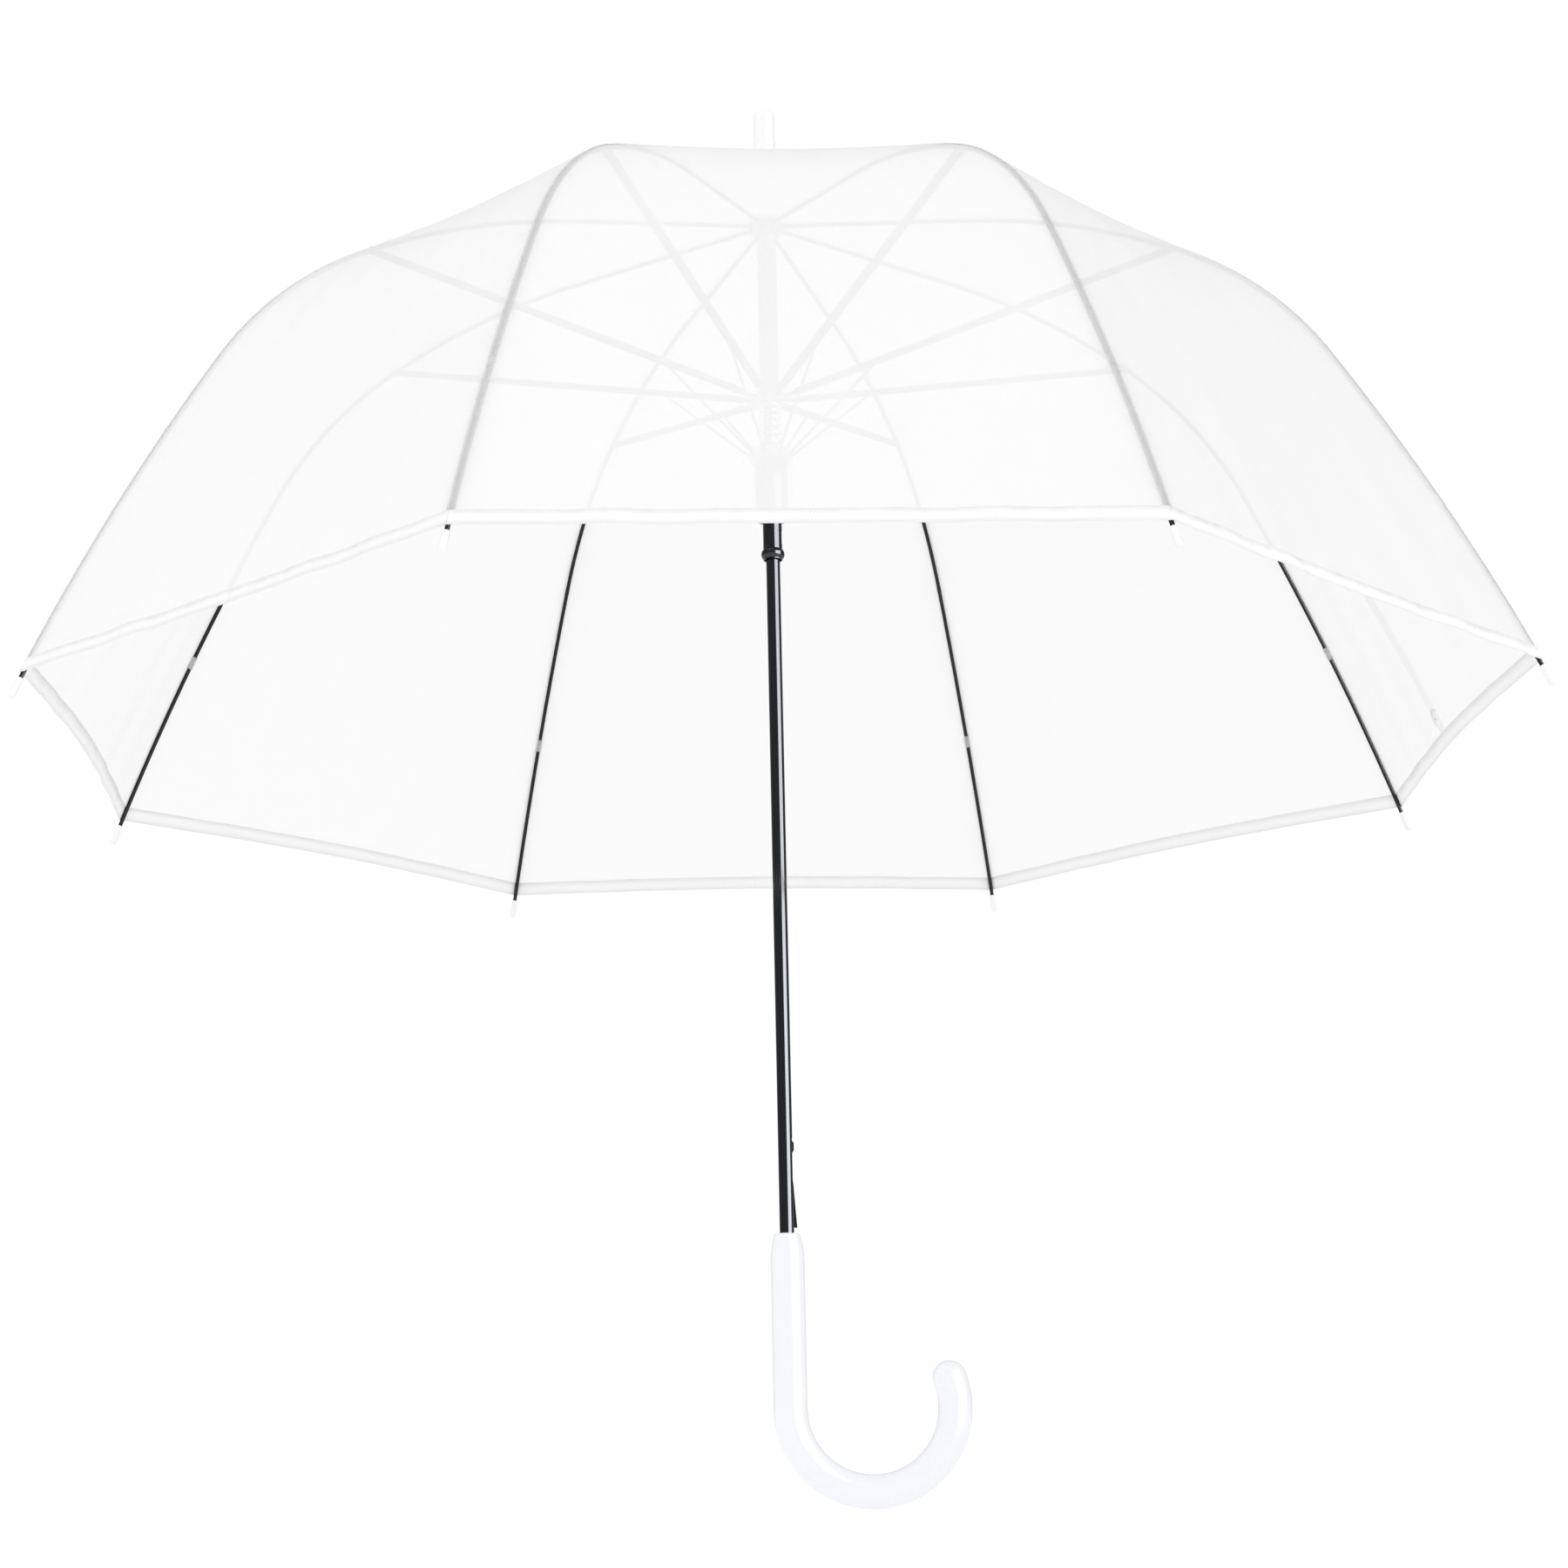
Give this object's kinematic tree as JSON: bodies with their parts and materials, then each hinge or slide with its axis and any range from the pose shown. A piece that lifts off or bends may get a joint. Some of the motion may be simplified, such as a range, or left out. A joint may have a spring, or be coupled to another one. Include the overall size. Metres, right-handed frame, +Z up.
{
  "type": "stick umbrella",
  "caption": "Clear dome stick umbrella, open: film canopy on hinged wire ribs and struts, double runner on a steel shaft, white ferrule and crook handle.",
  "frame": {"origin": "on the shaft's axis at the mouth of the handle, where a hand holds it", "axes": "+Z up the shaft to the ferrule, +X the way the crook opens, -Y towards the front"},
  "size_m": [0.8084, 0.8084, 0.8217],
  "materials": {
    "shaft_steel": "dark nickel plated steel tube, polished",
    "handle_plastic": "gloss white moulded ABS",
    "white_plastic": "satin white moulded acetal",
    "rib_steel": "black painted spring steel wire, semi gloss",
    "strut_steel": "black electro-plated folded steel channel",
    "spring_steel": "bright spring steel wire",
    "clear_film": "clear flexible plastic film, slightly milky"
  },
  "bodies": {
    "frame": {"shaft": "shaft_steel", "handle": "handle_plastic", "ferrule": "white_plastic", "crown": "white_plastic", "crown_wire": "spring_steel", "rosette": "white_plastic"},
    "rib_inner_1": {"rib_inner_1": "rib_steel"},
    "rib_outer_1": {"rib_outer_1": "rib_steel", "tip_cap_1": "white_plastic", "canopy_1": "clear_film"},
    "strut_1": {"strut_1": "strut_steel"},
    "link_1": {"link_1": "strut_steel"},
    "rib_inner_2": {"rib_inner_2": "rib_steel"},
    "rib_outer_2": {"rib_outer_2": "rib_steel", "tip_cap_2": "white_plastic", "canopy_2": "clear_film"},
    "strut_2": {"strut_2": "strut_steel"},
    "link_2": {"link_2": "strut_steel"},
    "rib_inner_3": {"rib_inner_3": "rib_steel"},
    "rib_outer_3": {"rib_outer_3": "rib_steel", "tip_cap_3": "white_plastic", "canopy_3": "clear_film"},
    "strut_3": {"strut_3": "strut_steel"},
    "link_3": {"link_3": "strut_steel"},
    "rib_inner_4": {"rib_inner_4": "rib_steel"},
    "rib_outer_4": {"rib_outer_4": "rib_steel", "tip_cap_4": "white_plastic", "canopy_4": "clear_film"},
    "strut_4": {"strut_4": "strut_steel"},
    "link_4": {"link_4": "strut_steel"},
    "rib_inner_5": {"rib_inner_5": "rib_steel"},
    "rib_outer_5": {"rib_outer_5": "rib_steel", "tip_cap_5": "white_plastic", "canopy_5": "clear_film"},
    "strut_5": {"strut_5": "strut_steel"},
    "link_5": {"link_5": "strut_steel"},
    "rib_inner_6": {"rib_inner_6": "rib_steel"},
    "rib_outer_6": {"rib_outer_6": "rib_steel", "tip_cap_6": "white_plastic", "canopy_6": "clear_film"},
    "strut_6": {"strut_6": "strut_steel"},
    "link_6": {"link_6": "strut_steel"},
    "rib_inner_7": {"rib_inner_7": "rib_steel"},
    "rib_outer_7": {"rib_outer_7": "rib_steel", "tip_cap_7": "white_plastic", "canopy_7": "clear_film"},
    "strut_7": {"strut_7": "strut_steel"},
    "link_7": {"link_7": "strut_steel"},
    "rib_inner_8": {"rib_inner_8": "rib_steel"},
    "rib_outer_8": {"rib_outer_8": "rib_steel", "tip_cap_8": "white_plastic", "canopy_8": "clear_film"},
    "strut_8": {"strut_8": "strut_steel"},
    "link_8": {"link_8": "strut_steel"},
    "runner": {"runner": "white_plastic", "runner_wire": "spring_steel", "main_spring": "spring_steel"},
    "lower_runner": {"lower_runner": "white_plastic", "latch_tube": "shaft_steel"},
    "catch": {"release_catch": "shaft_steel"}
  },
  "joints": [
    {"name": "rib_1_fold", "type": "hinge", "parent": "frame", "child": "rib_inner_1", "pos_m": [0.00287, -0.00693, 0.597], "axis": [0.9239, 0.3827, 0], "range_deg": [0, 74], "stiffness_Nm_per_rad": 2, "springref_deg": -85.94},
    {"name": "rib_2_fold", "type": "hinge", "parent": "frame", "child": "rib_inner_2", "pos_m": [0.00693, -0.00287, 0.597], "axis": [0.3827, 0.9239, 0], "range_deg": [-0.02, 74.02]},
    {"name": "rib_3_fold", "type": "hinge", "parent": "frame", "child": "rib_inner_3", "pos_m": [0.00693, 0.00287, 0.597], "axis": [-0.3827, 0.9239, 0], "range_deg": [-0.02, 74.02]},
    {"name": "rib_4_fold", "type": "hinge", "parent": "frame", "child": "rib_inner_4", "pos_m": [0.00287, 0.00693, 0.597], "axis": [-0.9239, 0.3827, 0], "range_deg": [-0.02, 74.02]},
    {"name": "rib_5_fold", "type": "hinge", "parent": "frame", "child": "rib_inner_5", "pos_m": [-0.00287, 0.00693, 0.597], "axis": [-0.9239, -0.3827, 0], "range_deg": [-0.02, 74.02]},
    {"name": "rib_6_fold", "type": "hinge", "parent": "frame", "child": "rib_inner_6", "pos_m": [-0.00693, 0.00287, 0.597], "axis": [-0.3827, -0.9239, 0], "range_deg": [-0.02, 74.02]},
    {"name": "rib_7_fold", "type": "hinge", "parent": "frame", "child": "rib_inner_7", "pos_m": [-0.00693, -0.00287, 0.597], "axis": [0.3827, -0.9239, 0], "range_deg": [-0.02, 74.02]},
    {"name": "rib_8_fold", "type": "hinge", "parent": "frame", "child": "rib_inner_8", "pos_m": [-0.00287, -0.00693, 0.597], "axis": [0.9239, -0.3827, 0], "range_deg": [-0.02, 74.02]},
    {"name": "rib_1_flex", "type": "hinge", "parent": "rib_inner_1", "child": "rib_outer_1", "pos_m": [0.09376, -0.22635, 0.543], "axis": [0.9239, 0.3827, 0], "range_deg": [-38.22, 0.02], "deforming": ["canopy_1"]},
    {"name": "strut_1_hinge", "type": "hinge", "parent": "rib_inner_1", "child": "strut_1", "pos_m": [0.09376, -0.22635, 0.543], "axis": [0.9239, 0.3827, 0], "range_deg": [-148.02, 0.02]},
    {"name": "link_1_hinge", "type": "hinge", "parent": "strut_1", "child": "link_1", "pos_m": [0.02566, -0.06194, 0.50223], "axis": [0.9239, 0.3827, 0], "range_deg": [-0.02, 25.46]},
    {"name": "rib_2_flex", "type": "hinge", "parent": "rib_inner_2", "child": "rib_outer_2", "pos_m": [0.22635, -0.09376, 0.543], "axis": [0.3827, 0.9239, 0], "range_deg": [-38.22, 0.02], "deforming": ["canopy_2"]},
    {"name": "strut_2_hinge", "type": "hinge", "parent": "rib_inner_2", "child": "strut_2", "pos_m": [0.22635, -0.09376, 0.543], "axis": [0.3827, 0.9239, 0], "range_deg": [-148.02, 0.02]},
    {"name": "link_2_hinge", "type": "hinge", "parent": "strut_2", "child": "link_2", "pos_m": [0.06194, -0.02566, 0.50223], "axis": [0.3827, 0.9239, 0], "range_deg": [-0.02, 25.46]},
    {"name": "rib_3_flex", "type": "hinge", "parent": "rib_inner_3", "child": "rib_outer_3", "pos_m": [0.22635, 0.09376, 0.543], "axis": [-0.3827, 0.9239, 0], "range_deg": [-38.22, 0.02], "deforming": ["canopy_3"]},
    {"name": "strut_3_hinge", "type": "hinge", "parent": "rib_inner_3", "child": "strut_3", "pos_m": [0.22635, 0.09376, 0.543], "axis": [-0.3827, 0.9239, 0], "range_deg": [-148.02, 0.02]},
    {"name": "link_3_hinge", "type": "hinge", "parent": "strut_3", "child": "link_3", "pos_m": [0.06194, 0.02566, 0.50223], "axis": [-0.3827, 0.9239, 0], "range_deg": [-0.02, 25.46]},
    {"name": "rib_4_flex", "type": "hinge", "parent": "rib_inner_4", "child": "rib_outer_4", "pos_m": [0.09376, 0.22635, 0.543], "axis": [-0.9239, 0.3827, 0], "range_deg": [-38.22, 0.02], "deforming": ["canopy_4"]},
    {"name": "strut_4_hinge", "type": "hinge", "parent": "rib_inner_4", "child": "strut_4", "pos_m": [0.09376, 0.22635, 0.543], "axis": [-0.9239, 0.3827, 0], "range_deg": [-148.02, 0.02]},
    {"name": "link_4_hinge", "type": "hinge", "parent": "strut_4", "child": "link_4", "pos_m": [0.02566, 0.06194, 0.50223], "axis": [-0.9239, 0.3827, 0], "range_deg": [-0.02, 25.46]},
    {"name": "rib_5_flex", "type": "hinge", "parent": "rib_inner_5", "child": "rib_outer_5", "pos_m": [-0.09376, 0.22635, 0.543], "axis": [-0.9239, -0.3827, 0], "range_deg": [-38.22, 0.02], "deforming": ["canopy_5"]},
    {"name": "strut_5_hinge", "type": "hinge", "parent": "rib_inner_5", "child": "strut_5", "pos_m": [-0.09376, 0.22635, 0.543], "axis": [-0.9239, -0.3827, 0], "range_deg": [-148.02, 0.02]},
    {"name": "link_5_hinge", "type": "hinge", "parent": "strut_5", "child": "link_5", "pos_m": [-0.02566, 0.06194, 0.50223], "axis": [-0.9239, -0.3827, 0], "range_deg": [-0.02, 25.46]},
    {"name": "rib_6_flex", "type": "hinge", "parent": "rib_inner_6", "child": "rib_outer_6", "pos_m": [-0.22635, 0.09376, 0.543], "axis": [-0.3827, -0.9239, 0], "range_deg": [-38.22, 0.02], "deforming": ["canopy_6"]},
    {"name": "strut_6_hinge", "type": "hinge", "parent": "rib_inner_6", "child": "strut_6", "pos_m": [-0.22635, 0.09376, 0.543], "axis": [-0.3827, -0.9239, 0], "range_deg": [-148.02, 0.02]},
    {"name": "link_6_hinge", "type": "hinge", "parent": "strut_6", "child": "link_6", "pos_m": [-0.06194, 0.02566, 0.50223], "axis": [-0.3827, -0.9239, 0], "range_deg": [-0.02, 25.46]},
    {"name": "rib_7_flex", "type": "hinge", "parent": "rib_inner_7", "child": "rib_outer_7", "pos_m": [-0.22635, -0.09376, 0.543], "axis": [0.3827, -0.9239, 0], "range_deg": [-38.22, 0.02], "deforming": ["canopy_7"]},
    {"name": "strut_7_hinge", "type": "hinge", "parent": "rib_inner_7", "child": "strut_7", "pos_m": [-0.22635, -0.09376, 0.543], "axis": [0.3827, -0.9239, 0], "range_deg": [-148.02, 0.02]},
    {"name": "link_7_hinge", "type": "hinge", "parent": "strut_7", "child": "link_7", "pos_m": [-0.06194, -0.02566, 0.50223], "axis": [0.3827, -0.9239, 0], "range_deg": [-0.02, 25.46]},
    {"name": "rib_8_flex", "type": "hinge", "parent": "rib_inner_8", "child": "rib_outer_8", "pos_m": [-0.09376, -0.22635, 0.543], "axis": [0.9239, -0.3827, 0], "range_deg": [-38.22, 0.02], "deforming": ["canopy_8"]},
    {"name": "strut_8_hinge", "type": "hinge", "parent": "rib_inner_8", "child": "strut_8", "pos_m": [-0.09376, -0.22635, 0.543], "axis": [0.9239, -0.3827, 0], "range_deg": [-148.02, 0.02]},
    {"name": "link_8_hinge", "type": "hinge", "parent": "strut_8", "child": "link_8", "pos_m": [-0.02566, -0.06194, 0.50223], "axis": [0.9239, -0.3827, 0], "range_deg": [-0.02, 25.46]},
    {"name": "runner_level", "type": "hinge", "parent": "strut_1", "child": "runner", "pos_m": [0.00287, -0.00693, 0.489], "axis": [0.9239, 0.3827, 0], "range_deg": [-0.02, 74.02]},
    {"name": "spring_stroke", "type": "slide", "parent": "runner", "child": "lower_runner", "axis": [0, 0, 1], "range_m": [-0.00001, 0.0223], "deforming": ["main_spring"]},
    {"name": "catch_press", "type": "slide", "parent": "frame", "child": "catch", "axis": [-1, 0, 0], "range_m": [0, 0.0016], "stiffness_N_per_m": 400, "springref_m": -0.001}
  ],
  "couplings": [
    {"joint": "rib_2_fold", "follows": "rib_1_fold", "ratio": 1},
    {"joint": "rib_3_fold", "follows": "rib_1_fold", "ratio": 1},
    {"joint": "rib_4_fold", "follows": "rib_1_fold", "ratio": 1},
    {"joint": "rib_5_fold", "follows": "rib_1_fold", "ratio": 1},
    {"joint": "rib_6_fold", "follows": "rib_1_fold", "ratio": 1},
    {"joint": "rib_7_fold", "follows": "rib_1_fold", "ratio": 1},
    {"joint": "rib_8_fold", "follows": "rib_1_fold", "ratio": 1},
    {"joint": "rib_1_flex", "follows": "rib_1_fold", "ratio": -0.51622},
    {"joint": "strut_1_hinge", "follows": "rib_1_fold", "ratio": -2},
    {"joint": "link_1_hinge", "follows": "rib_1_fold", "ratio": 0.34385},
    {"joint": "rib_2_flex", "follows": "rib_1_fold", "ratio": -0.51622},
    {"joint": "strut_2_hinge", "follows": "rib_1_fold", "ratio": -2},
    {"joint": "link_2_hinge", "follows": "rib_1_fold", "ratio": 0.34385},
    {"joint": "rib_3_flex", "follows": "rib_1_fold", "ratio": -0.51622},
    {"joint": "strut_3_hinge", "follows": "rib_1_fold", "ratio": -2},
    {"joint": "link_3_hinge", "follows": "rib_1_fold", "ratio": 0.34385},
    {"joint": "rib_4_flex", "follows": "rib_1_fold", "ratio": -0.51622},
    {"joint": "strut_4_hinge", "follows": "rib_1_fold", "ratio": -2},
    {"joint": "link_4_hinge", "follows": "rib_1_fold", "ratio": 0.34385},
    {"joint": "rib_5_flex", "follows": "rib_1_fold", "ratio": -0.51622},
    {"joint": "strut_5_hinge", "follows": "rib_1_fold", "ratio": -2},
    {"joint": "link_5_hinge", "follows": "rib_1_fold", "ratio": 0.34385},
    {"joint": "rib_6_flex", "follows": "rib_1_fold", "ratio": -0.51622},
    {"joint": "strut_6_hinge", "follows": "rib_1_fold", "ratio": -2},
    {"joint": "link_6_hinge", "follows": "rib_1_fold", "ratio": 0.34385},
    {"joint": "rib_7_flex", "follows": "rib_1_fold", "ratio": -0.51622},
    {"joint": "strut_7_hinge", "follows": "rib_1_fold", "ratio": -2},
    {"joint": "link_7_hinge", "follows": "rib_1_fold", "ratio": 0.34385},
    {"joint": "rib_8_flex", "follows": "rib_1_fold", "ratio": -0.51622},
    {"joint": "strut_8_hinge", "follows": "rib_1_fold", "ratio": -2},
    {"joint": "link_8_hinge", "follows": "rib_1_fold", "ratio": 0.34385},
    {"joint": "runner_level", "follows": "rib_1_fold", "ratio": 1},
    {"joint": "spring_stroke", "follows": "rib_1_fold", "m_per_rad": 0.017258}
  ]
}
